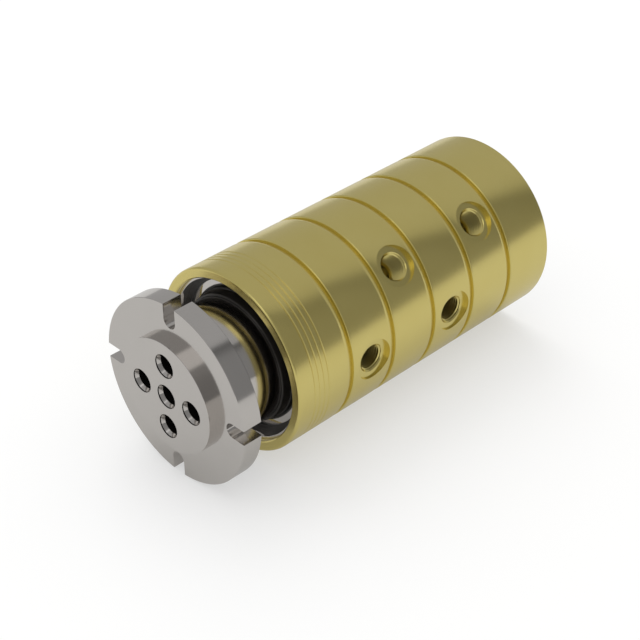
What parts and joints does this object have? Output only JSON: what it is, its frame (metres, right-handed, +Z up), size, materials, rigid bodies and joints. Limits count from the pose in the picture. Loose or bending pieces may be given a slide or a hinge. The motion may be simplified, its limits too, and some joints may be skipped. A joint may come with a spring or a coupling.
{
  "type": "hydraulic rotary union",
  "caption": "Flanged hydraulic rotary union: a drilled shaft with a slotted flange and face ports turns in a grooved cylindrical housing with threaded side ports.",
  "frame": {"origin": "centre of the flange's mounting face on the axis, where the pilot boss starts", "axes": "+Y along the axis from the flange towards the housing's rear and its port, +Z up, +X the way that side ports 1 and 3 face"},
  "size_m": [0.09, 0.2055, 0.09],
  "materials": {
    "turned_steel": "fine turned",
    "yellow_zinc_plated_steel": "yellow passivated",
    "polished_steel_case": "polished",
    "spring_steel": "phosphated",
    "bearing_steel": "ground",
    "nitrile_rubber": "moulded",
    "ptfe_compound": "turned",
    "moulded_polyamide": "moulded"
  },
  "bodies": {
    "shaft": {"shaft": "turned_steel", "front_bearing_inner_ring": "bearing_steel", "rear_bearing_inner_ring": "bearing_steel", "shaft_retaining_ring": "spring_steel"},
    "housing": {"housing": "yellow_zinc_plated_steel", "dust_seal_case": "polished_steel_case", "dust_seal_lip": "nitrile_rubber", "dust_seal_spring": "spring_steel", "front_retaining_ring": "spring_steel", "front_bearing_outer_ring": "bearing_steel", "front_bearing_seals": "nitrile_rubber", "rear_bearing_outer_ring": "bearing_steel", "rear_bearing_seals": "nitrile_rubber", "rear_cover": "turned_steel", "rear_cover_o_ring": "nitrile_rubber", "cover_retaining_ring": "spring_steel", "stem_seal_ring": "ptfe_compound", "stem_o_ring": "nitrile_rubber", "passage_seal_1": "ptfe_compound", "passage_seal_2": "ptfe_compound", "passage_seal_3": "ptfe_compound", "passage_seal_4": "ptfe_compound", "passage_seal_5": "ptfe_compound", "passage_o_ring_1": "nitrile_rubber", "passage_o_ring_2": "nitrile_rubber", "passage_o_ring_3": "nitrile_rubber", "passage_o_ring_4": "nitrile_rubber", "passage_o_ring_5": "nitrile_rubber"},
    "front_cage": {"front_bearing_cage": "moulded_polyamide", "front_bearing_balls": "bearing_steel"},
    "rear_cage": {"rear_bearing_cage": "moulded_polyamide", "rear_bearing_balls": "bearing_steel"}
  },
  "joints": [
    {"name": "housing_spin", "type": "hinge", "parent": "shaft", "child": "housing", "pos_m": [0, 0, 0], "axis": [0, 1, 0], "continuous": true},
    {"name": "front_cage_spin", "type": "hinge", "parent": "shaft", "child": "front_cage", "pos_m": [0, 0, 0], "axis": [0, 1, 0], "continuous": true},
    {"name": "rear_cage_spin", "type": "hinge", "parent": "shaft", "child": "rear_cage", "pos_m": [0, 0, 0], "axis": [0, 1, 0], "continuous": true}
  ],
  "couplings": [
    {"joint": "front_cage_spin", "follows": "housing_spin", "ratio": 0.56692},
    {"joint": "rear_cage_spin", "follows": "housing_spin", "ratio": 0.55619}
  ]
}
